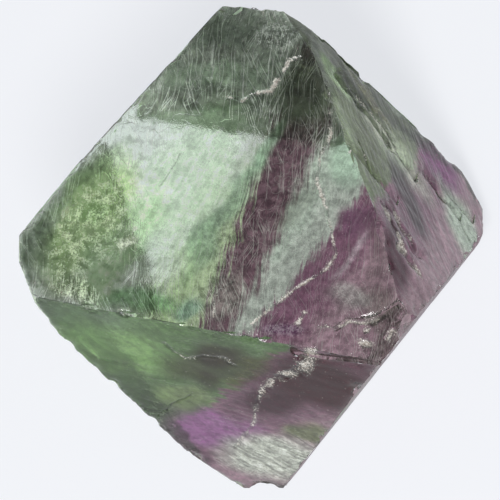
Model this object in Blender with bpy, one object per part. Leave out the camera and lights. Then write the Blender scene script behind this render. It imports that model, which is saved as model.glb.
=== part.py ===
"""A natural fluorite octahedron, 18 mm from tip to tip, lying on one of its cleavage faces.

Units are metres and +Z is up. The crystal is described in its own cubic axes a, b and c, with its
centre at their origin and lengths in millimetres. It is one solid: eight cleavage faces that are
nearly but not quite regular, broken corners, worn edges, cleavage ledges and conchoidal bites.
The last step lays it on its rest face, over the origin.
"""

import math
import random

import bmesh
import bpy
from mathutils import Matrix, Vector

MM = 0.001
BLANK = 40.0  # side of the block that the cleavage planes are cut from
CUTTER_HEIGHT = 2.0  # how far a ledge cutter stands out of its face
SEED = 9

# Each cleavage face: its normal along a, b, c and its distance from the centre.
CLEAVAGE_FACES = {
    "rest": ((1.01, -0.99, -1.00), 5.19),
    "top": ((-0.95, 1.02, 1.03), 4.97),
    "right": ((1.02, 1.03, 0.94), 6.51),
    "lower": ((-1.03, -0.99, 0.98), 6.29),
    "fore": ((1.03, -0.94, 1.03), 6.79),
    "rear": ((-0.98, 1.05, -0.98), 7.02),
    "upper": ((1.00, 1.03, -0.98), 6.06),
    "left": ((-0.96, -1.00, -1.04), 6.29),
}

# Where a corner or an edge has broken away flat, written in the same way.
BREAKS = {
    "b_point": ((0.13, 1.00, -0.32), 9.12),
    "b_neck": ((0.51, 1.00, 0.57), 7.75),
    "b_foot": ((0.13, -1.00, 0.18), 9.81),
    "b_foot_side": ((-0.72, -1.00, -0.07), 8.29),
    "a_point": ((1.00, -0.18, 0.47), 8.89),
    "a_point_over": ((1.00, 0.23, -0.21), 8.89),
    "a_point_under": ((1.00, -0.43, 0.95), 7.72),
    "a_foot": ((-1.00, -0.03, -0.50), 9.07),
    "a_foot_over": ((-1.00, 0.94, -0.91), 7.18),
    "a_foot_under": ((-1.00, -0.43, -0.33), 8.70),
    "a_foot_edge": ((-1.00, -0.70, -0.21), 8.23),
    "c_foot": ((-0.10, 0.15, -1.00), 9.72),
    "right_strip": ((0.72, 0.85, 1.00), 7.06),
}

# Cleavage ledges: face, middle (u, v), heading in degrees, length, width, drop.
LEDGES = (
    ("right", (-1.70, 0.60), -76.0, 3.6, 0.50, 0.10),
    ("right", (1.35, 1.40), -80.0, 5.2, 0.80, 0.09),
    ("right", (-2.35, -2.10), -98.0, 2.2, 0.40, 0.09),
    ("right", (2.90, -2.50), -75.0, 2.4, 0.55, 0.11),
    ("right", (3.90, -3.20), -72.0, 2.0, 0.70, 0.10),
    ("lower", (5.50, 2.60), 4.0, 3.4, 0.50, 0.12),
    ("rear", (-1.20, 1.50), 62.0, 5.4, 1.30, 0.16),
    ("rear", (2.10, -1.80), 58.0, 3.6, 0.80, 0.12),
    ("upper", (0.80, 0.60), -58.0, 6.0, 1.50, 0.18),
    ("upper", (-2.40, -2.20), -61.0, 3.4, 0.90, 0.12),
    ("left", (-0.60, 0.40), 3.0, 6.2, 1.40, 0.18),
    ("left", (1.60, -2.60), 5.0, 3.2, 0.80, 0.12),
    ("fore", (0.40, 0.20), 59.0, 6.4, 1.20, 0.16),
    ("fore", (-2.20, 1.80), 57.0, 3.2, 0.80, 0.12),
)

# The terrace where the front corner has flaked: its floor leaves the top face at one u and slopes
# down from there, inside an outline (u, v).
FLAKE_START = 4.10
FLAKE_SLOPE = 0.085
FLAKE_OUTLINE = (
    (4.40, -5.40),
    (4.28, -4.28),
    (4.86, -4.24),
    (5.25, -3.81),
    (6.01, -3.73),
    (6.44, -3.52),
    (7.14, -2.91),
    (8.60, -3.40),
    (7.10, -6.00),
)

# Conchoidal bites: middle along a, b, c and radius.
BITES = (
    ((1.95, -0.30, 10.10), 1.00),
    ((0.35, -1.15, 10.75), 0.85),
    ((2.75, 0.35, 9.35), 0.75),
    ((-6.02, -5.37, -0.18), 0.45),
    ((-4.30, -7.09, -0.11), 0.45),
    ((10.00, 0.95, -0.35), 1.10),
    ((0.55, -10.40, 1.25), 1.00),
    ((-10.05, -0.40, -1.20), 0.75),
    ((-1.20, 1.10, -10.75), 0.90),
    ((-0.90, 9.80, -1.30), 0.80),
)

NICKS_PER_EDGE_MM = 0.42
NICK_RADIUS = (0.22, 0.52)
NICK_BITE = (0.05, 0.15)  # depth of a nick below the edge that it is on
NICK_STRETCH = (1.0, 1.9)
SHORTEST_NICKED_EDGE = 2.0
KEEP_OFF_ENDS = 0.08  # share of an edge at each end that has no nick


def unit(indices):
    return Vector(indices).normalized()


def face_frame(face):
    """Turns (u, v, out) on a cleavage face into crystal axes: v climbs towards +b."""
    indices, distance = CLEAVAGE_FACES[face]
    out = unit(indices)
    u = Vector((0.0, 1.0, 0.0)).cross(out).normalized()
    v = out.cross(u)
    turn = Matrix((u, v, out)).transposed().to_4x4()
    return Matrix.Translation(out * distance) @ turn


def rest_turn():
    """Crystal axes to the resting pose: the rest face looks down, +X runs along the a and c axes."""
    up = -unit(CLEAVAGE_FACES["rest"][0])
    across = Vector((1.0, 0.0, 1.0))
    x = (across - up * across.dot(up)).normalized()
    return Matrix((x, up.cross(x), up)).to_4x4()


def collection(name):
    made = bpy.data.collections.new(name)
    bpy.context.scene.collection.children.link(made)
    return made


def object_from(bm, name, home):
    """A mesh object from millimetres in crystal axes, at the crystal's own origin."""
    bmesh.ops.scale(bm, vec=(MM, MM, MM), verts=bm.verts)
    bmesh.ops.recalc_face_normals(bm, faces=bm.faces)
    mesh = bpy.data.meshes.new(name)
    bm.to_mesh(mesh)
    bm.free()
    made = bpy.data.objects.new(name, mesh)
    home.objects.link(made)
    return made


def cut_away(bm, indices, distance):
    """Takes off all that lies outside one plane and closes the cut."""
    out = unit(indices)
    cut = bmesh.ops.bisect_plane(
        bm,
        geom=bm.verts[:] + bm.edges[:] + bm.faces[:],
        plane_co=out * distance,
        plane_no=out,
        clear_outer=True,
    )
    rim = [item for item in cut["geom_cut"] if isinstance(item, bmesh.types.BMEdge)]
    if rim:
        bmesh.ops.edgeloop_fill(bm, edges=rim)


def cleaved_block():
    bm = bmesh.new()
    bmesh.ops.create_cube(bm, size=BLANK)
    for indices, distance in (*CLEAVAGE_FACES.values(), *BREAKS.values()):
        cut_away(bm, indices, distance)
    bmesh.ops.recalc_face_normals(bm, faces=bm.faces)
    return bm


def long_edges(bm):
    """Each edge of the block that is long enough to have worn: its start, its run and its way out."""
    found = []
    for edge in bm.edges:
        if edge.calc_length() < SHORTEST_NICKED_EDGE:
            continue
        start, end = (vertex.co.copy() for vertex in edge.verts)
        one_side, other_side = (face.normal for face in edge.link_faces)
        found.append((start, end - start, (one_side + other_side).normalized()))
    return found


def ledge_cutter(face, middle, heading, length, width, drop, home, name):
    """A slab whose underside dips from the face at one long side to a small wall at the other."""
    tilt = math.atan2(drop, width)
    bm = bmesh.new()
    bmesh.ops.create_cube(bm, size=1.0)
    place = (
        face_frame(face)
        @ Matrix.Translation((*middle, -drop / 2))
        @ Matrix.Rotation(math.radians(heading), 4, "Z")
        @ Matrix.Rotation(tilt, 4, "X")
        @ Matrix.Translation((0.0, width / 4, CUTTER_HEIGHT / 2))
        @ Matrix.Diagonal((length, 1.5 * width, CUTTER_HEIGHT, 1.0))
    )
    bmesh.ops.transform(bm, matrix=place, verts=bm.verts)
    return object_from(bm, name, home)


def flake_cutter(home):
    bm = bmesh.new()
    rim = [bm.verts.new((u, v, (FLAKE_START - u) * FLAKE_SLOPE)) for u, v in FLAKE_OUTLINE]
    floor = bm.faces.new(rim)
    raised = bmesh.ops.extrude_face_region(bm, geom=[floor])["geom"]
    lifted = [item for item in raised if isinstance(item, bmesh.types.BMVert)]
    bmesh.ops.translate(bm, vec=(0.0, 0.0, CUTTER_HEIGHT), verts=lifted)
    bmesh.ops.transform(bm, matrix=face_frame("top"), verts=bm.verts)
    return object_from(bm, "front_corner_flake", home)


def bite_cutter(middle, radius, home, name):
    bm = bmesh.new()
    bmesh.ops.create_icosphere(bm, subdivisions=3, radius=radius)
    bmesh.ops.translate(bm, vec=middle, verts=bm.verts)
    return object_from(bm, name, home)


def nick_cutter(middle, radius, stretch, heading, home, name):
    bm = bmesh.new()
    bmesh.ops.create_icosphere(bm, subdivisions=2, radius=radius)
    place = (
        Matrix.Translation(middle)
        @ heading.to_track_quat("X", "Z").to_matrix().to_4x4()
        @ Matrix.Diagonal((stretch, 1.0, 1.0, 1.0))
    )
    bmesh.ops.transform(bm, matrix=place, verts=bm.verts)
    return object_from(bm, name, home)


def worn_edges(edges, home):
    """Small shell-shaped nicks, scattered along every long edge."""
    dice = random.Random(SEED)
    count = 0
    for start, run, outward in edges:
        for _ in range(round(run.length * NICKS_PER_EDGE_MM)):
            along = dice.uniform(KEEP_OFF_ENDS, 1.0 - KEEP_OFF_ENDS)
            radius = dice.uniform(*NICK_RADIUS)
            bite = dice.uniform(*NICK_BITE)
            middle = start + run * along + outward * (radius - bite)
            nick_cutter(middle, radius, dice.uniform(*NICK_STRETCH), run, home, f"nick_{count}")
            count += 1


def fluorite_material():
    material = bpy.data.materials.new("zoned_fluorite")
    material.use_nodes = True
    shader = material.node_tree.nodes["Principled BSDF"]
    shader.inputs["Base Color"].default_value = (0.30, 0.42, 0.30, 1.0)
    shader.inputs["Roughness"].default_value = 0.22
    shader.inputs["Metallic"].default_value = 0.0
    shader.inputs["IOR"].default_value = 1.434
    shader.inputs["Transmission Weight"].default_value = 0.6
    return material


def lay_down(crystal):
    """Turns the crystal onto its rest face and stands its box over the origin, on z = 0."""
    turn = rest_turn()
    crystal.matrix_world = turn
    bpy.context.view_layer.update()
    mesh = crystal.evaluated_get(bpy.context.evaluated_depsgraph_get()).data
    corners = [turn @ vertex.co for vertex in mesh.vertices]
    low = [min(corner[axis] for corner in corners) for axis in range(3)]
    high = [max(corner[axis] for corner in corners) for axis in range(3)]
    shift = Vector((-(low[0] + high[0]) / 2, -(low[1] + high[1]) / 2, -low[2]))
    crystal.matrix_world = Matrix.Translation(shift) @ turn


def main():
    for old in list(bpy.data.objects):
        bpy.data.objects.remove(old, do_unlink=True)
    stone = collection("fluorite_octahedron")
    cutters = collection("cutters")

    block = cleaved_block()
    edges = long_edges(block)
    crystal = object_from(block, "fluorite_crystal", stone)
    crystal.data.materials.append(fluorite_material())

    for index, ledge in enumerate(LEDGES):
        ledge_cutter(*ledge, cutters, f"ledge_{index}")
    flake_cutter(cutters)
    for index, (middle, radius) in enumerate(BITES):
        bite_cutter(middle, radius, cutters, f"bite_{index}")
    worn_edges(edges, cutters)

    for cutter in cutters.objects:
        cutter.hide_render = True
        cutter.display_type = "WIRE"
        cutter.parent = crystal
    wear = crystal.modifiers.new("wear", "BOOLEAN")
    wear.operation = "DIFFERENCE"
    wear.solver = "EXACT"
    wear.operand_type = "COLLECTION"
    wear.collection = cutters
    lay_down(crystal)


main()
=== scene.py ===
"""Dresses the fluorite octahedron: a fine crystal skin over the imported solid, its zoned and frosted
fluorite, and the pale studio that it lies in.

Lengths are millimetres until a mesh is written, and metres after that. The crystal's own axes a, b
and c, its cleavage faces and the place of its centre are those of the solid.
"""

import math

import bmesh
import bpy
import numpy as np
from mathutils import Matrix, Vector, geometry, kdtree, noise


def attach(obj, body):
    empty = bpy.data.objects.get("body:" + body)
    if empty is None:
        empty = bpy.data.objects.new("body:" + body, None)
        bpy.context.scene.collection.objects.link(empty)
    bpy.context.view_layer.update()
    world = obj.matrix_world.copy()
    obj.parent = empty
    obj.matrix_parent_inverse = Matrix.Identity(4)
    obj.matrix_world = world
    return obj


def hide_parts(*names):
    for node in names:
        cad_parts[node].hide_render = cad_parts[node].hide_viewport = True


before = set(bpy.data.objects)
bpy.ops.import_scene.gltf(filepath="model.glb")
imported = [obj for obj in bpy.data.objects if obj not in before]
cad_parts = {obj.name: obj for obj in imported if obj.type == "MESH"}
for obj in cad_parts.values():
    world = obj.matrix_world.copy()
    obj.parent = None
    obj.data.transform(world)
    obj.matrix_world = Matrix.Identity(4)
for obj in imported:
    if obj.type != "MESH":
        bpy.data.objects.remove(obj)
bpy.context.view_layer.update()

MM = 0.001
SEED = 21
NODE = "fluorite_crystal"

# The crystal's axes in the frame: it lies on its rest face, with its centre here.
REST_INDICES = (1.01, -0.99, -1.00)
CENTRE = np.array((0.0369, 0.2778, 5.19))

# Each cleavage face: its normal along a, b, c, its distance, the heading of its etched grain in
# degrees from u, how coarse that grain is, how deep its ribs and its dimples are, and how dull it is.
SIDES = {
    "top": ((-0.95, 1.02, 1.03), 4.97, 96.0, 1.0, 0.006, 0.000, 0.10),
    "right": ((1.02, 1.03, 0.94), 6.51, -84.0, 2.0, 0.026, 0.000, 0.16),
    "lower": ((-1.03, -0.99, 0.98), 6.29, -4.0, 1.7, 0.012, 0.000, 0.16),
    "fore": ((1.03, -0.94, 1.03), 6.79, 60.0, 1.0, 0.016, 0.010, 0.35),
    "rear": ((-0.98, 1.05, -0.98), 7.02, 62.0, 1.0, 0.012, 0.040, 0.40),
    "upper": ((1.00, 1.03, -0.98), 6.06, -58.0, 1.0, 0.012, 0.025, 0.40),
    "left": ((-0.96, -1.00, -1.04), 6.29, 4.0, 1.0, 0.012, 0.045, 0.27),
    "rest": ((1.01, -0.99, -1.00), 5.19, 30.0, 1.0, 0.004, 0.000, 0.20),
}

GRAIN_APART = 40.0  # keeps the grain of one face away from that of the next

# The skin
COARSE = 0.13  # spacing of its points
FINE = 0.05  # their spacing along a crack
RIM_GAP = 0.4 * FINE  # how near the rim of a facet a point inside it may lie
JITTER = 0.18  # how far a point may lie off its place, as a share of the spacing
WELD = 0.0005  # the solid's points this close are one
SAME_PLACE = 1e-6  # the places on a facet this close are one
TINY = 1e-12  # keeps a length that is divided by from being zero
LEVEL = 0.3  # degrees between triangles of one facet
HARD_TURN = 14.0  # degrees between facets that meet in a hard edge

# Its relief: how deep each form is cut, and how wide one is
SWELL_DEPTH = 0.010
SWELL_SIZE = 1.7
RIB_SIZE = 0.42
RIB_LENGTH = 6.0  # times its width
DIMPLE_SIZE = 1.1
DIMPLE_SWAY = 0.3
DIMPLE_SWAY_SIZE = 0.9
WEAR_DEPTH = 0.055  # of a rounded edge
WEAR_REACH = 0.13
CHIP_DEPTH = 0.09  # of a chipped one
CHIP_REACH = 0.24
CRACK_REACH = 1.5  # how far the mark of a crack reaches, times its half width
CRACK_RAGGED = 0.6  # how much its width varies
CRACK_RAGGED_SIZES = (0.20, 0.9)
CRACK_SWAY = 0.06  # how far it wanders off its path
CRACK_SWAY_SIZE = 0.35
FILLING_SIZE = 0.45  # of the gaps in its filling

# Cracks: the face, the points (u, v) that each follows, its half width, its depth, and how much pale
# crushed crystal fills it.
CRACKS = (
    ("top", ((3.15, 4.21), (3.36, 3.28), (3.10, 2.37), (3.15, 1.42), (3.76, 0.26), (4.40, -1.33),
             (4.17, -1.99), (3.13, -2.88), (1.70, -4.46)), 0.080, 0.050, 0.80),
    ("top", ((-0.86, 4.23), (-0.30, 4.18), (0.15, 4.48), (0.71, 4.67), (0.95, 5.30), (1.25, 5.98),
             (1.69, 6.16)), 0.110, 0.050, 0.85),
    ("top", ((0.67, -2.93), (0.30, -3.25), (0.10, -3.67), (0.20, -4.38)), 0.060, 0.040, 0.60),
    ("top", ((4.87, -4.32), (5.07, -4.13), (5.34, -3.90), (6.02, -3.81), (6.42, -3.64)),
     0.090, 0.030, 0.70),
    ("top", ((-2.30, 1.80), (-2.37, 1.51), (-2.55, 1.01), (-2.83, 0.41)), 0.035, 0.030, 0.00),
    ("top", ((3.45, -4.22), (3.60, -3.80)), 0.180, 0.040, 1.00),
    ("top", ((6.05, -4.65), (6.22, -4.60)), 0.210, 0.050, 1.00),
    ("top", ((6.02, -4.14), (6.12, -4.10)), 0.130, 0.030, 0.90),
    ("top", ((6.90, -4.30), (7.05, -3.95)), 0.150, 0.040, 0.60),
    ("top", ((4.18, 2.68), (4.24, 2.72)), 0.080, 0.020, 0.90),
    ("right", ((-1.28, 1.61), (-1.85, 0.40), (-2.00, 0.10)), 0.060, 0.050, 0.60),
    ("right", ((-2.80, -0.73), (-3.16, -1.88), (-3.48, -2.85), (-3.42, -3.71)), 0.170, 0.060, 1.00),
    ("right", ((-2.18, -1.31), (-2.39, -1.82), (-2.36, -2.43), (-2.38, -2.93)), 0.150, 0.050, 0.80),
    ("right", ((2.62, -1.59), (2.63, -2.43), (3.09, -3.23)), 0.100, 0.040, 0.55),
    ("right", ((2.73, -3.74), (2.52, -4.54)), 0.100, 0.040, 0.45),
    ("right", ((0.98, 3.04), (1.36, 1.88), (1.60, 0.86), (1.44, 0.08), (1.34, -0.67)),
     0.100, 0.030, 0.50),
    ("lower", ((4.92, 3.22), (4.52, 2.65), (4.32, 1.88), (3.72, 1.13), (2.76, 0.34), (2.09, -0.64)),
     0.300, 0.040, 0.66),
    ("lower", ((2.09, -0.64), (1.65, -1.63), (1.40, -2.88), (0.84, -3.97), (0.31, -4.90)),
     0.110, 0.030, 0.50),
    ("lower", ((-1.47, 1.70), (-1.20, 1.17), (-0.69, 0.84), (0.10, 1.25), (0.90, 1.25), (1.20, 0.87)),
     0.130, 0.020, 0.40),
    ("lower", ((-2.59, -3.49), (-2.32, -3.08), (-2.04, -2.87), (-1.85, -2.48), (-1.48, -2.18),
               (-0.95, -1.70)), 0.060, 0.050, 0.00),
)

# Growth zones, in the order that they grew. Each starts at a plane, which may lie a little differently
# under each face: the normal along a, b, c, and the distance. Some don't show under every face.
NOWHERE = 90.0
GROWTH = {
    "green": {"any": ((1.00, -0.94, 0.94), -1.86)},
    "band": {
        "any": ((1.00, -0.38, 0.71), -0.85),
        "right": ((1.00, -0.38, 0.71), NOWHERE),
        "lower": ((1.00, -0.38, 0.71), NOWHERE),
    },
    "gap": {
        "any": ((1.00, -0.47, 0.75), 0.75),
        "right": ((1.00, -0.47, 0.75), NOWHERE),
        "lower": ((1.00, -0.47, 0.75), NOWHERE),
    },
    "violet": {
        "any": ((1.00, -0.92, 0.96), 2.09),
        "right": ((0.89, -1.00, 0.93), 2.32),
        "lower": ((0.54, -1.00, 0.75), 4.11),
    },
    "tip": {
        "any": ((1.00, -0.90, 0.96), 3.70),
        "right": ((1.00, -0.52, 0.80), 5.85),
        "lower": ((0.27, -1.00, 0.61), 7.31),
    },
}

# What is seen under some faces before the violet zone: a display colour, how much it covers, and how
# many fibres lie there. The other faces have the plain number of fibres.
PLAIN_FIBRES = 0.6
BASES = {
    "right": ((85, 90, 60), 0.85, 0.35),
    "lower": ((90, 120, 70), 0.90, 0.25),
}

# Clouds in the crystal, and painted shade: the dark row under the upper face and the first three dark
# rows under the top face paint the shade that light turned back inside the crystal leaves there. Each
# row gives the face that it lies under, its place (u, v), its half length and half width, the heading
# of its length from u, its display colour, how strong it is, and how many fibres lie there. A cloud is
# whole out to its core, and gone past its rim, as shares of its half length and half width, and its
# outline sways a little.
CLOUD_CORE = 0.45
CLOUD_RIM = 1.15
CLOUD_SWAY = 0.45
CLOUD_SWAY_SIZE = 1.1
CLOUDS_AND_SHADE = (
    # painted shade: the hidden upper face is painted dark green, so the crystal looks dark there through
    # the top face
    ("upper", (0.0, 0.0), (20.0, 20.0), 0.0, (75, 115, 70), 0.60, 0.8),
    ("left", (0.0, 0.0), (20.0, 20.0), 0.0, (245, 255, 228), 0.80, 0.1),
    ("rear", (0.0, 0.0), (20.0, 20.0), 0.0, (170, 215, 155), 0.60, 0.5),
    ("fore", (0.0, 0.0), (20.0, 20.0), 0.0, (130, 95, 110), 0.50, 0.8),
    ("rest", (0.0, 0.0), (20.0, 20.0), 0.0, (240, 245, 240), 0.70, 0.0),
    # painted shade: these three dark rows paint the dark upper part of the top face, where light is
    # turned back inside
    ("top", (-0.7, 5.8), (5.2, 2.7), 0.0, (45, 75, 36), 0.50, 0.6),
    ("top", (-1.5, 4.0), (3.2, 0.8), 0.0, (55, 75, 50), 0.50, 1.3),
    ("top", (-1.5, 6.9), (1.8, 1.0), 0.0, (15, 40, 15), 0.50, 0.5),
    ("top", (2.0, 4.7), (1.3, 1.7), 10.0, (125, 133, 115), 0.85, 0.45),
    ("top", (0.6, 6.9), (0.9, 0.7), 0.0, (110, 115, 110), 0.50, 0.8),
    ("top", (-1.8, 0.8), (3.9, 2.0), 66.0, (240, 255, 230), 0.80, 0.08),
    ("top", (-0.2, -0.3), (3.3, 0.55), 66.0, (160, 190, 158), 0.70, 0.35),
    ("top", (0.95, 2.4), (1.5, 0.40), 66.0, (185, 232, 190), 0.45, 0.3),
    ("top", (-5.3, -1.2), (3.4, 1.5), 70.0, (225, 255, 180), 0.85, 0.40),
    ("top", (-3.9, -2.2), (3.2, 1.1), 68.0, (215, 250, 190), 0.65, 0.30),
    ("top", (-5.2, -1.0), (0.6, 0.4), 40.0, (175, 215, 135), 0.60, 0.3),
    ("top", (-3.8, -1.9), (0.5, 0.4), 20.0, (255, 255, 230), 0.60, 0.3),
    ("top", (-5.0, 0.4), (0.6, 0.5), 60.0, (210, 235, 180), 0.50, 0.3),
    ("top", (-6.0, 0.1), (3.0, 0.40), 52.0, (135, 165, 105), 0.60, 0.6),
    ("top", (-7.0, -2.5), (1.5, 0.9), 90.0, (85, 115, 65), 0.60, 0.4),
    ("top", (-5.3, -4.0), (1.1, 0.55), 0.0, (185, 205, 150), 0.70, 1.0),
    ("top", (-2.8, -4.2), (1.8, 0.6), 8.0, (145, 195, 140), 0.75, 0.5),
    ("top", (-0.9, -4.1), (0.7, 0.5), 60.0, (130, 175, 160), 0.60, 0.7),
    ("top", (1.2, -0.2), (5.0, 1.4), 66.0, (0, 0, 0), 0.0, 1.0),
    ("top", (0.4, -3.4), (1.4, 0.9), 60.0, (160, 155, 145), 0.35, 1.4),
    ("top", (4.1, 2.2), (1.0, 0.65), 96.0, (210, 230, 210), 0.80, 0.15),
    ("top", (2.6, 0.2), (1.2, 0.7), 66.0, (110, 110, 100), 0.50, 0.4),
    ("top", (4.4, -2.0), (2.6, 1.8), 62.0, (0, 0, 0), 0.0, 0.35),
    ("top", (3.5, -2.7), (1.3, 0.6), 62.0, (115, 70, 98), 0.25, 0.3),
    ("top", (6.3, -3.2), (1.2, 0.7), 113.0, (130, 112, 112), 0.70, 0.4),
    ("top", (6.0, -1.2), (1.8, 0.3), 113.0, (100, 85, 85), 0.35, 0.3),
    ("top", (4.9, 0.1), (0.9, 0.75), 50.0, (140, 95, 125), 0.80, 0.25),
    ("top", (2.9, -4.6), (1.0, 0.35), 8.0, (105, 55, 100), 0.80, 0.9),
    ("top", (4.9, -1.4), (1.4, 0.18), 62.0, (220, 200, 210), 0.60, 0.4),
    ("top", (5.3, -2.9), (1.0, 0.75), 0.0, (180, 170, 170), 0.75, 0.3),
    ("right", (0.3, 3.9), (1.1, 0.5), -84.0, (205, 235, 170), 0.65, 0.3),
    ("right", (-2.6, 1.2), (3.2, 0.40), 50.0, (155, 165, 135), 0.85, 0.4),
    ("right", (1.2, -0.2), (2.4, 1.2), -84.0, (215, 220, 200), 0.60, 0.6),
    ("right", (-0.3, -1.5), (2.2, 0.8), 60.0, (30, 5, 20), 0.85, 0.1),
    ("right", (1.3, 1.2), (1.2, 0.6), -84.0, (250, 245, 230), 0.60, 0.5),
    ("right", (2.0, 2.2), (1.7, 0.35), -84.0, (150, 135, 50), 0.60, 0.8),
    ("right", (3.9, 1.2), (1.8, 0.5), -72.0, (255, 255, 255), 0.60, 0.6),
    ("right", (4.2, -1.7), (1.6, 1.1), -84.0, (135, 30, 125), 0.80, 0.3),
    ("right", (-3.9, -2.3), (2.4, 0.8), 40.0, (85, 40, 60), 0.95, 0.15),
    ("right", (2.8, -4.0), (2.3, 1.3), 60.0, (215, 240, 215), 0.80, 0.7),
    ("lower", (-4.2, 0.6), (3.2, 2.0), 0.0, (165, 200, 130), 0.65, 0.15),
    ("lower", (0.2, 0.4), (2.4, 1.2), 14.0, (70, 50, 30), 0.60, 0.0),
    ("lower", (-1.4, -2.0), (1.5, 0.9), 20.0, (155, 170, 120), 0.70, 0.2),
    ("lower", (0.7, 1.4), (1.7, 0.9), 10.0, (55, 20, 10), 0.70, 0.0),
    ("lower", (-0.2, -0.6), (0.9, 0.7), 30.0, (55, 20, 10), 0.50, 0.0),
    ("lower", (1.9, 0.7), (2.3, 0.4), 52.0, (90, 85, 35), 0.60, 0.2),
    ("lower", (4.6, 0.6), (3.0, 2.3), 20.0, (68, 6, 22), 0.97, 0.0),
    ("lower", (2.4, -1.2), (1.9, 1.0), 20.0, (70, 8, 36), 0.90, 0.05),
    ("lower", (-0.45, -3.85), (2.4, 1.45), 12.0, (182, 115, 178), 0.88, 0.25),
    ("lower", (1.9, -5.2), (2.6, 1.7), 10.0, (225, 230, 215), 0.90, 0.5),
    ("lower", (3.6, -3.1), (1.2, 0.8), 10.0, (130, 145, 95), 0.80, 0.5),
)

# Chance bands lie under the faces that look away: how many there are under each, how strong they are,
# how far from a face's middle one may lie, and the ranges of their half widths, of their lengths as
# times the width, and of their fibres. They turn a few degrees off the heading that a face has here,
# beside their display colours.
FAR_BANDS = 9
FAR_STRENGTH = 0.65
FAR_REACH = 5.0
FAR_HALF_WIDTHS = (0.4, 1.3)
FAR_LENGTHS = (2.5, 6.0)
FAR_FIBRES = (0.1, 0.7)
FAR_TURN = 12.0
FAR_SIDES = {
    "upper": (-30.0, ((205, 235, 200), (60, 95, 55), (120, 160, 105), (115, 80, 105))),
    "left": (35.0, ((250, 255, 240), (205, 240, 170), (165, 210, 135), (225, 250, 205))),
    "rear": (60.0, ((232, 248, 222), (150, 200, 125), (110, 155, 95), (150, 115, 142))),
    "fore": (60.0, ((190, 160, 185), (95, 65, 78), (120, 80, 110), (150, 175, 140))),
}

# Where a face is combed into parallel waves, and where it is crushed to a pale haze: the face, the
# place, the half length and half width, the heading, and how strong the mark is.
PATCHES = {
    "waves": (
        ("lower", (2.2, -4.9), (3.0, 1.9), 10.0, 1.0),
        ("right", (1.5, -0.8), (7.0, 6.0), 0.0, 0.6),
        ("top", (-5.2, -4.0), (1.3, 0.8), 0.0, 0.7),
        ("top", (-0.6, 6.0), (4.0, 2.0), 0.0, 0.3),
    ),
    "haze": (
        ("upper", (1.0, 2.0), (3.5, 2.0), 40.0, 0.80),
        ("upper", (-3.0, -2.0), (3.0, 1.2), -20.0, 0.80),
        ("rear", (-1.0, 1.5), (4.0, 1.6), 60.0, 0.80),
        ("rear", (2.5, -2.5), (2.0, 1.4), 0.0, 0.60),
        ("left", (-1.0, -1.5), (3.0, 1.6), 20.0, 0.30),
        ("fore", (0.0, 1.0), (4.0, 1.6), 60.0, 0.70),
        ("top", (-5.1, -1.6), (3.0, 1.5), 70.0, 0.60),
        ("top", (-5.3, -4.0), (1.2, 0.6), 0.0, 0.80),
        ("top", (-5.2, -1.0), (0.5, 0.4), 40.0, 1.00),
        ("top", (-3.8, -1.9), (0.6, 0.4), 20.0, 1.00),
        ("top", (0.6, 6.9), (1.0, 0.8), 0.0, 0.60),
        ("top", (5.3, -2.9), (1.0, 0.8), 0.0, 0.40),
        ("top", (2.9, -4.6), (1.0, 0.4), 8.0, 0.50),
        ("right", (2.8, -4.0), (2.2, 1.0), 60.0, 0.70),
        ("right", (2.0, 2.2), (1.8, 0.4), -84.0, 0.40),
        ("lower", (1.9, -5.2), (2.8, 1.8), 10.0, 0.55),
    ),
}


# ---------------------------------------------------------------- the crystal's faces


def crystal_axes():
    """Turns a, b, c into the frame."""
    up = -Vector(REST_INDICES).normalized()
    across = Vector((1.0, 0.0, 1.0))
    x = (across - up * across.dot(up)).normalized()
    return np.array((x, up.cross(x), up))


AXES = crystal_axes()


def in_frame(indices):
    """A direction along a, b, c as a unit vector in the frame."""
    turned = AXES @ np.array(indices)
    return turned / np.linalg.norm(turned)


class Side:
    """One cleavage face: its way out, its u and v, and what lies on it."""

    def __init__(self, number, indices, distance, grain, coarseness, ribs, dimples, dullness):
        self.number = number
        self.out = in_frame(indices)
        self.distance = distance
        u = np.cross(in_frame((0.0, 1.0, 0.0)), self.out)
        self.u = u / np.linalg.norm(u)
        self.v = np.cross(self.out, self.u)
        heading = math.radians(grain)
        self.along = self.u * math.cos(heading) + self.v * math.sin(heading)
        self.across = np.cross(self.out, self.along)
        self.coarseness = coarseness
        self.ribs = ribs
        self.dimples = dimples
        self.dullness = dullness

    def flat(self, points):
        """The (u, v) of points in the frame."""
        away = points - CENTRE
        return np.stack((away @ self.u, away @ self.v), axis=1)

    def grain(self, points):
        """Lengths along and across the etched grain, far from those of any other side."""
        away = points - CENTRE
        across = away @ self.across / self.coarseness
        return np.stack((away @ self.along, across), axis=1) + GRAIN_APART * self.number


sides = {name: Side(number, *facts) for number, (name, facts) in enumerate(SIDES.items())}


def nearest_side(normal):
    """The name of the side that looks most nearly the same way."""
    return max(sides, key=lambda name: sides[name].out @ normal)


# ---------------------------------------------------------------- fine skin


def paint(red, green, blue):
    """A display colour, 0 to 255 a channel, as the light that a shader takes."""
    channels = [value / 255 for value in (red, green, blue)]
    lit = [c / 12.92 if c <= 0.04045 else ((c + 0.055) / 1.055) ** 2.4 for c in channels]
    return (*lit, 1.0)


def distance_to_path(flat, path):
    """How far each point lies from a path of straight runs."""
    nearest = np.full(len(flat), np.inf)
    for start, end in zip(path[:-1], path[1:]):
        start, end = np.array(start), np.array(end)
        run = end - start
        share = np.clip((flat - start) @ run / max(run @ run, TINY), 0.0, 1.0)
        gap = np.linalg.norm(flat - start - share[:, None] * run, axis=1)
        nearest = np.minimum(nearest, gap)
    return nearest


def inside(flat, outline):
    """Which points lie within a closed outline."""
    within = np.zeros(len(flat), bool)
    for (x0, y0), (x1, y1) in zip(outline, np.roll(outline, -1, axis=0)):
        if y0 == y1:
            continue
        crosses = (y0 > flat[:, 1]) != (y1 > flat[:, 1])
        within ^= crosses & (flat[:, 0] < x0 + (flat[:, 1] - y0) / (y1 - y0) * (x1 - x0))
    return within


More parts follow.
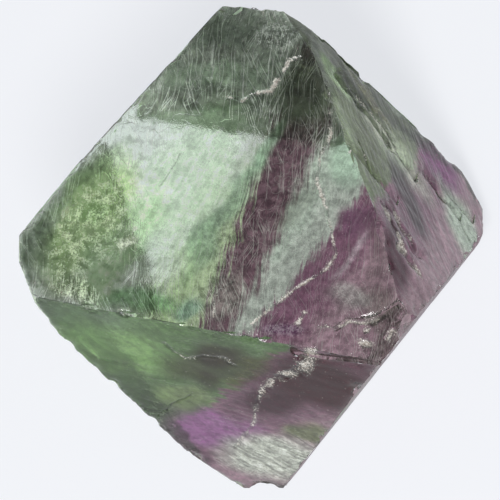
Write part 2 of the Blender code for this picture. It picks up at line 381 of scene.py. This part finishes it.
def staggered(low, high, spacing, dice):
    """Points in staggered rows, each a little off its place."""
    rows = np.arange(low[1], high[1], spacing * math.sqrt(3) / 2)
    x, y = np.meshgrid(np.arange(low[0], high[0], spacing), rows)
    x = x + (np.arange(len(rows)) % 2)[:, None] * spacing / 2
    points = np.stack((x.ravel(), y.ravel()), axis=1)
    return points + dice.uniform(-JITTER, JITTER, points.shape) * spacing


def facets():
    """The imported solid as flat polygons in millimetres, with their long edges split."""
    bm = bmesh.new()
    bm.from_mesh(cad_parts[NODE].data)
    bmesh.ops.scale(bm, vec=(1 / MM,) * 3, verts=bm.verts)
    bmesh.ops.remove_doubles(bm, verts=bm.verts, dist=WELD)
    bmesh.ops.dissolve_limit(bm, angle_limit=math.radians(LEVEL), verts=bm.verts, edges=bm.edges)
    for edge in list(bm.edges):
        start, end = edge.verts
        for left in range(int(edge.calc_length() / COARSE), 0, -1):
            other, start = bmesh.utils.edge_split(edge, start, 1.0 / (left + 1))
            edge = edge if end in edge.verts else other
    bm.verts.index_update()
    bm.normal_update()
    return bm


def near_crack(home, points):
    """Which points of a side lie in or beside one of its cracks."""
    flat = sides[home].flat(points)
    near = np.zeros(len(points), bool)
    for name, path, half_width, _, _ in CRACKS:
        if name == home:
            near |= distance_to_path(flat, path) < half_width + COARSE
    return near


def lifted(flat, corner, basis):
    """Places on a facet, counted from one corner, as points in the frame."""
    return corner + flat @ basis


def filling_of(rim, corner, basis, home, dice):
    """Points inside one facet, closer together along a crack."""
    low, high = rim.min(0), rim.max(0)
    if min(high - low) < COARSE:
        return np.zeros((0, 2))
    wide = staggered(low, high, COARSE, dice)
    close = staggered(low, high, FINE, dice)
    far = ~near_crack(home, lifted(wide, corner, basis))
    near = near_crack(home, lifted(close, corner, basis))
    filling = np.concatenate((wide[far], close[near]))
    filling = filling[inside(filling, rim)]
    return filling[distance_to_path(filling, np.vstack((rim, rim[:1]))) > RIM_GAP]


def skin_of(bm):
    """Fills each facet with small even triangles. Gives the points, and each triangle's corners,
    facet and side."""
    dice = np.random.default_rng(SEED)
    points = [np.array(vertex.co) for vertex in bm.verts]
    triangles, facet_of, side_of = [], [], []
    for number, face in enumerate(bm.faces):
        home = nearest_side(np.array(face.normal))
        corners = np.array([vertex.co for vertex in face.verts])
        x = np.array(face.normal.orthogonal().normalized())
        basis = np.stack((x, np.cross(face.normal, x)))
        rim = (corners - corners[0]) @ basis.T
        filling = filling_of(rim, corners[0], basis, home, dice)
        flat = [Vector(place) for place in np.concatenate((rim, filling))]
        whole = list(range(len(rim)))
        placed, _, made, sources, _, owners = geometry.delaunay_2d_cdt(
            flat, [], [whole], 0, SAME_PLACE, True
        )
        known = []
        for place, source in zip(placed, sources):
            if source and source[0] < len(rim):
                known.append(face.verts[source[0]].index)
            else:
                known.append(len(points))
                points.append(lifted(np.array(place), corners[0], basis))
        for triangle, owner in zip(made, owners):
            if owner:
                triangles.append([known[corner] for corner in triangle])
                facet_of.append(number)
                side_of.append(sides[home].number)
    return np.array(points), np.array(triangles), np.array(facet_of), np.array(side_of)


def smooth(low, high, values):
    """0 below low, 1 above high, eased between."""
    share = np.clip((values - low) / (high - low), 0.0, 1.0)
    return share * share * (3.0 - 2.0 * share)


def cloud(points, scale, shift=0.0):
    """Smooth noise from about -1 to 1, one value a point."""
    return np.array([noise.noise(Vector(place / scale) + Vector((shift,) * 3)) for place in points])


def scallops(points, scale):
    """Shallow bowls that meet in ridges: 0 on a ridge and 1 in a bowl's middle."""
    nearest = [noise.voronoi(Vector(place / scale))[0][:2] for place in points]
    first, second = np.array(nearest).T
    return 1.0 - np.clip(first / np.maximum(second, TINY), 0.0, 1.0) ** 2


def crack_marks(name, points):
    """How near a crack's middle each point of a side lies, how pale its filling is, and the cut."""
    flat = sides[name].flat(points)
    near, pale, cut = np.zeros(len(points)), np.zeros(len(points)), np.zeros(len(points))
    fine, slow = CRACK_RAGGED_SIZES
    ragged = 1.0 + CRACK_RAGGED * cloud(points, fine)
    ragged *= 1.0 + CRACK_RAGGED * cloud(points, slow, shift=5.0)
    swaying = flat + CRACK_SWAY * cloud(points, CRACK_SWAY_SIZE, shift=7.0)[:, None]
    broken = smooth(-0.5, 0.15, cloud(points, FILLING_SIZE, shift=4.0))
    for home, path, half_width, depth, filling in CRACKS:
        if home != name:
            continue
        reach = CRACK_REACH * half_width * ragged
        one = 1.0 - np.clip(distance_to_path(swaying, path) / reach, 0.0, 1.0)
        pale = np.where(one > near, filling * one * broken, pale)
        near = np.maximum(near, one)
        cut = np.maximum(cut, depth * smooth(0.45, 0.8, one))
    return near, pale, cut


def edge_gaps(bm, points):
    """How far each point lies from the nearest hard edge of the solid."""
    limit = math.radians(HARD_TURN)
    hard = [edge for edge in bm.edges if edge.calc_face_angle(0.0) > limit]
    tree = kdtree.KDTree(3 * len(hard))
    for number, edge in enumerate(hard):
        start, end = (vertex.co for vertex in edge.verts)
        for step in range(3):
            tree.insert(start.lerp(end, step / 3), 3 * number + step)
    tree.balance()
    return np.array([tree.find(Vector(place))[2] for place in points])


def relief(name, points, gap):
    """How far a side is cut back at each point, with its marks of cracks and worn edges."""
    side = sides[name]
    along, across = side.grain(points).T
    slow = np.stack((along / RIB_LENGTH, across, np.full(len(points), 3.0)), axis=1)
    ribs = 1.0 - np.abs(cloud(slow, RIB_SIZE / side.coarseness**0.5))
    cut = SWELL_DEPTH * (1.0 + cloud(points, SWELL_SIZE)) + side.ribs * ribs**3
    if side.dimples:
        swaying = points + DIMPLE_SWAY * cloud(points, DIMPLE_SWAY_SIZE)[:, None]
        cut = cut + side.dimples * scallops(swaying, DIMPLE_SIZE)
    uneven = 0.75 + 0.5 * cloud(points, 0.6, shift=3.0)
    rare = smooth(0.15, 0.45, cloud(points, 0.7, shift=9.0))
    worn = np.exp(-((gap / WEAR_REACH) ** 2)) * uneven
    chipped = np.exp(-((gap / CHIP_REACH) ** 2)) * rare
    near, pale, crack = crack_marks(name, points)
    cut = cut + WEAR_DEPTH * worn + CHIP_DEPTH * chipped + crack
    return cut, near, pale, np.maximum(worn, chipped)


def carved(points, gaps, triangles, facet_of, side_of):
    """Cuts the relief into the points, inwards, and gives the crack and edge shade of each."""
    count = len(points)
    first = points[triangles[:, 1]] - points[triangles[:, 0]]
    second = points[triangles[:, 2]] - points[triangles[:, 0]]
    flats = np.cross(first, second)
    flats /= np.linalg.norm(flats, axis=1)[:, None] + TINY
    outward = np.zeros((count, 3))
    pairs = np.stack((triangles.ravel(), np.repeat(facet_of, 3)), axis=1)
    _, once = np.unique(pairs, axis=0, return_index=True)
    np.add.at(outward, pairs[once, 0], flats[once // 3])
    outward /= np.linalg.norm(outward, axis=1)[:, None] + TINY
    marks = np.zeros((4, count))
    for name, side in sides.items():
        mine = np.unique(triangles[side_of == side.number])
        marks[:, mine] = np.maximum(marks[:, mine], relief(name, points[mine], gaps[mine]))
    cut, near, pale, worn = marks
    placed = points - outward * cut[:, None]
    placed[:, 2] = np.maximum(placed[:, 2], 0.0)
    return placed, {"crack": near, "filling": pale, "worn": worn}


def cover_of(flat, place, half_sizes, heading):
    """1 in the middle of a soft patch of a side, 0 outside it."""
    turn = math.radians(heading)
    away = flat - np.array(place)
    along = away @ np.array((math.cos(turn), math.sin(turn))) / half_sizes[0]
    across = away @ np.array((-math.sin(turn), math.cos(turn))) / half_sizes[1]
    return 1.0 - smooth(CLOUD_CORE, CLOUD_RIM, np.hypot(along, across))


def far_bands():
    """Chance bands under the faces that look away, as more clouds."""
    dice = np.random.default_rng(SEED)
    rows = []
    for name, (heading, colours) in FAR_SIDES.items():
        for number in range(FAR_BANDS):
            place = dice.uniform(-FAR_REACH, FAR_REACH, 2)
            half_width = dice.uniform(*FAR_HALF_WIDTHS)
            half_sizes = (half_width * dice.uniform(*FAR_LENGTHS), half_width)
            turn = heading + dice.uniform(-FAR_TURN, FAR_TURN)
            fibrous = dice.uniform(*FAR_FIBRES)
            colour = colours[number % len(colours)]
            rows.append((name, place, half_sizes, turn, colour, FAR_STRENGTH, fibrous))
    return tuple(rows)


FAR = far_bands()


def clouds_and_shade_of(name, points):
    """The clouds and painted shade under a side, as their colour times their cover and that cover, and
    its patches.
    """
    sway = np.stack([cloud(points, CLOUD_SWAY_SIZE, shift) for shift in (3.0, 8.0)], axis=1)
    flat = sides[name].flat(points) + CLOUD_SWAY * sway
    veil_and_shade = np.zeros((len(points), 4))
    fibres = np.full(len(points), BASES[name][2] if name in BASES else PLAIN_FIBRES)
    for home, place, half_sizes, heading, colour, strength, fibrous in CLOUDS_AND_SHADE + FAR:
        if home == name:
            cover = cover_of(flat, place, half_sizes, heading)[:, None]
            veil_and_shade += cover * strength * (np.array(paint(*colour)) - veil_and_shade)
            fibres += (fibrous - fibres) * cover[:, 0]
    marks = {"fibres": fibres}
    for mark, patches in PATCHES.items():
        marks[mark] = np.zeros(len(points))
        for home, place, half_sizes, heading, strength in patches:
            if home == name:
                cover = strength * cover_of(flat, place, half_sizes, heading)
                marks[mark] = np.maximum(marks[mark], cover)
    return veil_and_shade, marks


def growth_depth(zone, name, points):
    """How far past the start of a growth zone points lie."""
    normal, distance = GROWTH[zone].get(name, GROWTH[zone]["any"])
    return (points - CENTRE) @ (np.array(normal) / np.linalg.norm(normal) @ AXES.T) - distance


def corner_marks(points, corners, home):
    """What varies over each side, at every corner of its triangles."""
    count = len(corners)
    grain = np.zeros((count, 2))
    coloured = {name: np.zeros((count, 4)) for name in ("veil_and_shade", "base")}
    single = {name: np.zeros(count) for name in ("fibres", *PATCHES, "dullness", *GROWTH)}
    for name, side in sides.items():
        mine = home == side.number
        used, back = np.unique(corners[mine], return_inverse=True)
        places = points[used]
        grain[mine] = side.grain(places)[back]
        veil_and_shade, marks = clouds_and_shade_of(name, places)
        coloured["veil_and_shade"][mine] = veil_and_shade[back]
        if name in BASES:
            colour, cover, _ = BASES[name]
            coloured["base"][mine] = cover * np.array(paint(*colour))
        for mark, values in marks.items():
            single[mark][mine] = values[back]
        single["dullness"][mine] = side.dullness
        for zone in GROWTH:
            single[zone][mine] = growth_depth(zone, name, places)[back]
    return grain, coloured, single


def crystal_mesh():
    """The skin in metres, with everything that the fluorite reads off it."""
    bm = facets()
    points, triangles, facet_of, side_of = skin_of(bm)
    facet_normals = np.array([face.normal for face in bm.faces])
    gaps = edge_gaps(bm, points)
    bm.free()
    placed, point_marks = carved(points, gaps, triangles, facet_of, side_of)
    mesh = bpy.data.meshes.new("fluorite_crystal_skin")
    mesh.from_pydata((placed * MM).tolist(), [], triangles.tolist())
    grain, coloured, single = corner_marks(points, triangles.ravel(), np.repeat(side_of, 3))
    mesh.uv_layers.new(name="grain").data.foreach_set("uv", grain.ravel())
    for name, values in coloured.items():
        made = mesh.attributes.new(name, "FLOAT_COLOR", "CORNER")
        made.data.foreach_set("color", values.ravel())
    for name, values in point_marks.items():
        mesh.attributes.new(name, "FLOAT", "POINT").data.foreach_set("value", values)
    for name, values in single.items():
        mesh.attributes.new(name, "FLOAT", "CORNER").data.foreach_set("value", values)
    mark_hard_edges(mesh, facet_of, facet_normals)
    return mesh


def mark_hard_edges(mesh, facet_of, facet_normals):
    """Keeps the crystal's edges crisp, while the relief on each facet is smooth."""
    mesh.shade_smooth()
    both = {}
    for polygon in mesh.polygons:
        for key in polygon.edge_keys:
            both.setdefault(key, []).append(facet_of[polygon.index])
    hard = [False] * len(mesh.edges)
    limit = math.cos(math.radians(HARD_TURN))
    for edge in mesh.edges:
        one, other = both[edge.key]
        turns = facet_normals[one] @ facet_normals[other] < limit
        hard[edge.index] = bool(one != other and turns)
    mesh.attributes.new("sharp_edge", "BOOLEAN", "EDGE").data.foreach_set("value", hard)


# ---------------------------------------------------------------- material maths


class Term:
    """A socket inside a material. Sums on terms and numbers add their Math nodes."""

    def __init__(self, sheet, socket):
        self.sheet = sheet
        self.socket = socket

    def __add__(self, other):
        return self.sheet.math("ADD", self, other)

    __radd__ = __add__

    def __sub__(self, other):
        return self.sheet.math("SUBTRACT", self, other)

    def __rsub__(self, other):
        return self.sheet.math("SUBTRACT", other, self)

    def __mul__(self, other):
        return self.sheet.math("MULTIPLY", self, other)

    __rmul__ = __mul__


class Sheet:
    """The node tree of one material."""

    def __init__(self, name):
        self.material = bpy.data.materials.new(name)
        self.material.use_nodes = True
        self.tree = self.material.node_tree
        self.tree.nodes.clear()

    def node(self, kind, settings=None, values=None, output=0):
        """Adds a node: its settings first, then its sockets' values or links. Gives one output."""
        made = self.tree.nodes.new(kind)
        for name, setting in (settings or {}).items():
            setattr(made, name, setting)
        for key, value in (values or {}).items():
            if isinstance(value, Term):
                self.tree.links.new(value.socket, made.inputs[key])
            else:
                made.inputs[key].default_value = value
        return Term(self, made.outputs[output]) if made.outputs else made

    def math(self, operation, *terms):
        return self.node("ShaderNodeMath", {"operation": operation}, dict(enumerate(terms)))

    def vector(self, operation, values):
        return self.node("ShaderNodeVectorMath", {"operation": operation}, values)

    def ease(self, value, low, high, to_low=0.0, to_high=1.0):
        """value from low to high becomes to_low to to_high, eased at both ends."""
        settings = {"interpolation_type": "SMOOTHSTEP"}
        values = {0: value, 1: low, 2: high, 3: to_low, 4: to_high}
        return self.node("ShaderNodeMapRange", settings, values)

    def blend(self, factor, one, other):
        """Mixes two colours, which have sockets 6 and 7 and output 2 of a Mix node."""
        return self.node("ShaderNodeMix", {"data_type": "RGBA"}, {0: factor, 6: one, 7: other}, 2)

    def noise(self, place, scale=1.0, detail=2.0, roughness=0.5, output=0):
        """Noise round 0.5, or with output 1 as a colour."""
        values = {"Vector": place, "Scale": scale, "Detail": detail, "Roughness": roughness}
        return self.node("ShaderNodeTexNoise", {"noise_dimensions": "3D"}, values, output)


# ---------------------------------------------------------------- fluorite

PALE = (255, 255, 255)  # the crystal where no zone has started

# Each growth zone's display colour, half the width of its start, and how far fibres reach over it.
ZONE_LOOKS = {
    "green": ((195, 210, 170), 0.9, 0.6),
    "band": ((115, 80, 95), 0.22, 0.9),
    "gap": ((205, 210, 200), 0.35, 0.7),
    "violet": ((145, 100, 125), 0.18, 0.6),
    "tip": ((175, 140, 155), 0.5, 0.8),
}
ZONE_DRIFT = 1.3  # how far a start wanders

# Families of fibres: their turn from the grain in degrees, their length and width, how high the
# noise must rise to make one, where the family's own patches start, and where its noise is read.
FIBRES = (
    (0.0, 3.6, 0.046, 0.59, 0.36, 11.0),
    (10.0, 3.0, 0.042, 0.60, 0.44, 23.0),
    (-12.0, 2.6, 0.044, 0.60, 0.48, 67.0),
    (-27.0, 2.8, 0.046, 0.60, 0.44, 37.0),
    (27.0, 3.0, 0.046, 0.60, 0.48, 53.0),
)
FIBRE_RISE = 0.05  # how much more noise takes a fibre from nothing to whole
PATCH_RISE = 0.16  # and a patch of them

# Textures that run along the grain: their turn from it, their length and width, and where they are read.
FEATHERS = (4.0, 1.8, 0.11, 1.0)
STREAKS = (27.0, 3.0, 0.22, 5.0)
WAVES = (20.0, 3.6, 0.11, 7.0)
GRAIN_SWAY = 0.45  # how far the grain wanders

# How much each texture lightens and darkens the crystal
DRIFT_TONE = 0.6
GRIT_TONE = 0.45
WAVE_TONE = 0.5
STREAK_TONES = (0.88, 1.10)
# painted shade: how dark the crystal is painted down the middle of a crack
CRACK_SHADE_TONE = 0.65
ETCHED_CALM = 0.65  # how much less an etched face is mottled

# How much frost each mark lays over the clear crystal
FIBRE_FROST = 0.50
STRAY_FROST = 0.18
ETCHED_FROST = 0.42
HALO_FROST = 0.22
WORN_FROST = 0.10
WAVE_FROST = 0.10
HAZE_FROST = 0.65
DOWNY_HAZE = 0.12
CRUSHED_FROST = 0.88
LEAST_FROST = 0.010

ETCHED = (0.20, 0.40)  # the dullness at which a face starts to be etched, and is so all over
BUMP_STRENGTH = 0.35
BUMP_DEPTH = 0.02
FROST_PAINT = (206, 218, 202)
FROST_PALENESS = 0.50  # how much of that paint is in the frost
ETCHED_PALENESS = 0.35  # and how much less on an etched face
# the crushed crystal's own colour, and the paler paint of its painted glints
CRUSHED_AND_GLINT_PAINTS = ((172, 160, 148), (244, 240, 230))
ROUGH_FINISH = 0.6

IOR = 1.434
CLARITY = 1.0
DEPTH_COLOUR = (0.60, 0.88, 0.62, 1.0)
DEPTH_DENSITY = 20.0

# The outputs of an Attribute node
COLOUR = 0
FACTOR = 2
ALPHA = 3


def attribute(sheet, name, output=FACTOR):
    """What the mesh holds under a name."""
    return sheet.node("ShaderNodeAttribute", {"attribute_name": name}, None, output)


def stretched(sheet, grain, turn, length, width, seed):
    """The grain's place turned by some degrees, long one way and narrow the other."""
    settings = {"vector_type": "POINT"}
    values = {"Vector": grain, "Rotation": (0.0, 0.0, math.radians(turn))}
    turned = sheet.node("ShaderNodeMapping", settings, values)
    scaled = {"Vector": turned, "Scale": (1 / length, 1 / width, 1.0), "Location": (0, 0, seed)}
    return sheet.node("ShaderNodeMapping", settings, scaled)


def fibre_field(sheet, grain, place):
    """Fine pale fibres of every family, from 0 to 1."""
    field = None
    for turn, length, width, rise, start, seed in FIBRES:
        lane = sheet.noise(stretched(sheet, grain, turn, length, width, seed), detail=1.0)
        line = sheet.ease(lane, rise, rise + FIBRE_RISE)
        elsewhere = sheet.vector("ADD", {0: place, 1: (seed, 0.0, 0.0)})
        patch = sheet.noise(elsewhere, scale=0.6, detail=3.0)
        line = line * sheet.ease(patch, start, start + PATCH_RISE)
        field = line if field is None else sheet.math("MAXIMUM", field, line)
    return field


def covered(sheet, colour, name):
    """A colour under what an attribute holds, such as clouds with painted shade: colour times cover, and
    that cover.
    """
    seen = 1.0 - attribute(sheet, name, ALPHA)
    colour = sheet.vector("SCALE", {0: colour, "Scale": seen})
    return sheet.vector("ADD", {0: colour, 1: attribute(sheet, name, COLOUR)})


class Marks:
    """What the fluorite's colour, frost and relief share: the mesh's marks, and textures on them."""

    def __init__(self, sheet, place, grain):
        self.crack = attribute(sheet, "crack")
        self.filling = attribute(sheet, "filling")
        self.worn = attribute(sheet, "worn")
        self.dullness = attribute(sheet, "dullness")
        self.etched = sheet.ease(self.dullness, *ETCHED)
        self.downy = attribute(sheet, "fibres")
        self.drift = sheet.noise(place, scale=0.9, detail=3.0, roughness=0.6) - 0.5
        self.mottle = sheet.noise(place, scale=3.2, detail=4.0, roughness=0.7)
        self.grit = sheet.noise(place, scale=14.0, roughness=0.6)
        self.streak = sheet.noise(stretched(sheet, grain, *STREAKS), roughness=0.6)
        wave = sheet.noise(stretched(sheet, grain, *WAVES), detail=1.0)
        self.wave = (sheet.ease(wave, 0.38, 0.62) - 0.5) * attribute(sheet, "waves")
        self.fibres = fibre_field(sheet, grain, place) * self.downy
        stray = sheet.noise(grain, scale=0.55, detail=3.0, roughness=0.55) - 0.5
        stray = sheet.ease(sheet.math("ABSOLUTE", stray), 0.002, 0.008)
        self.stray = (1.0 - stray) * self.downy
        grains = sheet.ease(self.filling + self.grit * 1.8 - 0.9, 0.26, 0.66)
        self.crushed = grains * CRUSHED_FROST


def zoned(sheet, grain, drift):
    """The colour of the growth zones, with fibres across their starts, under the clouds and painted
    shade.
    """
    feathers = sheet.noise(stretched(sheet, grain, *FEATHERS), detail=3.0, roughness=0.6) - 0.5
    colour = paint(*PALE)
    for zone, (look, softness, reach) in ZONE_LOOKS.items():
        if zone == "violet":
            colour = covered(sheet, colour, "base")
        depth = attribute(sheet, zone) + feathers * (2.0 * reach) + drift * ZONE_DRIFT
        colour = sheet.blend(sheet.ease(depth, -softness, softness), colour, paint(*look))
    return covered(sheet, colour, "veil_and_shade")


def toned(sheet, colour, marks):
    """A colour with the crystal's mottling, grit, streaks and waves in it, and painted shade in its
    cracks.
    """
    mottled = (sheet.ease(marks.mottle, 0.34, 0.66) - 0.45) * (marks.downy * 0.55 + 0.25)
    mottled = mottled * (1.0 - marks.etched * ETCHED_CALM)
    gritty = 1.0 + (marks.grit - 0.5) * GRIT_TONE
    tone = (1.0 + marks.drift * DRIFT_TONE) * gritty * (1.0 + mottled)
    tone = tone * sheet.ease(marks.streak, 0.3, 0.7, *STREAK_TONES)
    tone = tone * (1.0 + marks.wave * WAVE_TONE)
    colour = sheet.vector("SCALE", {0: colour, "Scale": tone})
    # painted shade down the middle of each crack
    crack_shade = sheet.ease(marks.crack, 0.35, 0.75, 1.0, CRACK_SHADE_TONE)
    return sheet.vector("SCALE", {0: colour, "Scale": crack_shade})


def frosting(sheet, marks):
    """How much frost hides the clear crystal, from 0 to 1."""
    haze = sheet.ease(marks.mottle + (marks.grit - 0.5) * 0.7, 0.36, 0.72)
    haze = haze * (marks.downy * DOWNY_HAZE + attribute(sheet, "haze") * HAZE_FROST)
    frost = (
        marks.fibres * FIBRE_FROST
        + marks.stray * STRAY_FROST
        + haze
        + marks.etched * ETCHED_FROST
        + sheet.ease(marks.filling, 0.02, 0.5) * HALO_FROST
        + marks.worn * WORN_FROST
        + marks.wave * WAVE_FROST
        + LEAST_FROST
    )
    return sheet.math("MAXIMUM", sheet.math("MINIMUM", frost, 1.0), marks.crushed)


def clear_crystal(sheet, colour, marks, bump):
    """Glass that tints light with the colour at every face that it crosses."""
    values = {
        "Base Color": sheet.vector("MULTIPLY", {0: colour, 1: colour}),
        "Roughness": marks.dullness,
        "IOR": IOR,
        "Transmission Weight": CLARITY,
        "Normal": bump,
    }
    return sheet.node("ShaderNodeBsdfPrincipled", None, values)


def frosted_crystal(sheet, place, colour, marks, bump):
    """Pale rough frost, and crushed crystal where a crack is filled, speckled with painted glints."""
    paleness = FROST_PALENESS - marks.etched * ETCHED_PALENESS
    pale = sheet.blend(paleness, colour, paint(*FROST_PAINT))
    # painted glints: noise speckles the crushed crystal with the paler paint
    glint_speckle = sheet.ease(sheet.noise(place, scale=11.0, roughness=0.7), 0.38, 0.62)
    dark, light = (paint(*shade) for shade in CRUSHED_AND_GLINT_PAINTS)
    pale = sheet.blend(marks.crushed, pale, sheet.blend(glint_speckle, dark, light))
    values = {"Base Color": pale, "Roughness": ROUGH_FINISH, "IOR": IOR, "Normal": bump}
    return sheet.node("ShaderNodeBsdfPrincipled", None, values)


def fluorite():
    """Zoned and tinted glass, with frost over it, and a green depth that absorbs light."""
    sheet = Sheet("zoned_fluorite")
    metres = sheet.node("ShaderNodeTexCoord", output="Object")
    place = sheet.vector("SCALE", {0: metres, "Scale": 1 / MM})
    sway = sheet.noise(place, scale=0.6, detail=1.0, output=1)
    sway = sheet.vector("SUBTRACT", {0: sway, 1: (0.5, 0.5, 0.5)})
    sway = sheet.vector("SCALE", {0: sway, "Scale": GRAIN_SWAY})
    straight = sheet.node("ShaderNodeUVMap", {"uv_map": "grain"})
    grain = sheet.vector("ADD", {0: straight, 1: sway})
    marks = Marks(sheet, place, grain)
    colour = toned(sheet, zoned(sheet, grain, marks.drift), marks)
    height = marks.fibres + marks.stray + marks.grit * 0.5 + marks.wave * 2.0
    raised = {"Strength": BUMP_STRENGTH, "Distance": BUMP_DEPTH * MM, "Height": height}
    bump = sheet.node("ShaderNodeBump", None, raised)
    clear = clear_crystal(sheet, colour, marks, bump)
    frosted = frosted_crystal(sheet, place, colour, marks, bump)
    layers = {0: frosting(sheet, marks), 1: clear, 2: frosted}
    surface = sheet.node("ShaderNodeMixShader", None, layers)
    absorbing = {"Color": DEPTH_COLOUR, "Density": DEPTH_DENSITY}
    volume = sheet.node("ShaderNodeVolumeAbsorption", None, absorbing)
    sheet.node("ShaderNodeOutputMaterial", None, {"Surface": surface, "Volume": volume})
    return sheet.material


# ---------------------------------------------------------------- studio

AIM = (-0.072, -0.040, 5.145)  # what the camera looks at
CAMERA_AZIMUTH = 50.153
CAMERA_ELEVATION = 69.660
CAMERA_ROLL = 40.229
CAMERA_DISTANCE = 346.154
LENS = 648.0
SENSOR = 36.0
CLIP = (0.01, 10.0)  # metres
FLOOR_DROP = 0.03  # a hair's breadth of air under the rest face
FLOOR_REACH = 900.0
FLOOR_SEGMENTS = 64
FLOOR_COLOUR = (0.22, 0.22, 0.22, 1.0)
FLOOR_FINISH = 0.8
GLOW_COLOUR = (0.93, 0.95, 1.0, 1.0)
GLOW_STRENGTH = 0.745
SKY = (0.90, 0.92, 0.97, 1.0)
SKY_STRENGTH = 0.25


def toward(azimuth, elevation):
    """The way to a place round the crystal: azimuth 0 stands at -Y, and 90 at +X."""
    turn, rise = math.radians(azimuth), math.radians(elevation)
    return Vector(
        (math.sin(turn) * math.cos(rise), -math.cos(turn) * math.cos(rise), math.sin(rise))
    )


def add_object(name, data):
    """An object that holds this data, unturned at the origin."""
    made = bpy.data.objects.new(name, data)
    bpy.context.scene.collection.objects.link(made)
    return made


def add_camera():
    """The camera, rolled about its own way of looking."""
    back = toward(CAMERA_AZIMUTH, CAMERA_ELEVATION)
    level = Vector((0.0, 0.0, 1.0)).cross(back).normalized()
    roll = math.radians(CAMERA_ROLL)
    up = back.cross(level) * math.cos(roll) + level * math.sin(roll)
    place = Matrix((up.cross(back), up, back)).transposed().to_4x4()
    place.translation = (Vector(AIM) + back * CAMERA_DISTANCE) * MM
    lens = bpy.data.cameras.new("camera")
    lens.lens = LENS
    lens.sensor_width = SENSOR
    lens.clip_start, lens.clip_end = CLIP
    camera = add_object("camera", lens)
    camera.matrix_world = place
    bpy.context.scene.camera = camera


def add_softbox(name, azimuth, elevation, distance, width, power):
    """A round soft lamp that faces the crystal."""
    lamp = bpy.data.lights.new(name, "AREA")
    lamp.shape = "DISK"
    lamp.size = width * MM
    lamp.energy = power
    softbox = add_object(name, lamp)
    way = toward(azimuth, elevation)
    softbox.location = way * distance * MM
    softbox.rotation_euler = way.to_track_quat("Z", "Y").to_euler()


def add_floor():
    """The pale floor, which glows a little and so lights the crystal from below."""
    bm = bmesh.new()
    size = {"segments": FLOOR_SEGMENTS, "radius": FLOOR_REACH * MM}
    bmesh.ops.create_circle(bm, cap_ends=True, **size)
    bmesh.ops.translate(bm, vec=(0.0, 0.0, -FLOOR_DROP * MM), verts=bm.verts)
    mesh = bpy.data.meshes.new("floor")
    bm.to_mesh(mesh)
    bm.free()
    sheet = Sheet("pale_floor")
    values = {
        "Base Color": FLOOR_COLOUR,
        "Roughness": FLOOR_FINISH,
        "Emission Color": GLOW_COLOUR,
        "Emission Strength": GLOW_STRENGTH,
    }
    shader = sheet.node("ShaderNodeBsdfPrincipled", None, values)
    sheet.node("ShaderNodeOutputMaterial", None, {"Surface": shader})
    mesh.materials.append(sheet.material)
    floor = add_object("floor", mesh)


def add_sky():
    """Plain pale light from all round."""
    sky = bpy.data.worlds.new("studio")
    sky.use_nodes = True
    background = sky.node_tree.nodes["Background"]
    background.inputs["Color"].default_value = SKY
    background.inputs["Strength"].default_value = SKY_STRENGTH
    bpy.context.scene.world = sky


mesh = crystal_mesh()
mesh.materials.append(fluorite())
crystal = add_object("fluorite_crystal_dressed", mesh)
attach(crystal, "root")
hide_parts(NODE)
add_floor()
add_sky()
add_softbox("key", azimuth=20.0, elevation=55.0, distance=300.0, width=100.0, power=0.66)
add_camera()
bpy.context.scene.view_settings.view_transform = "Standard"
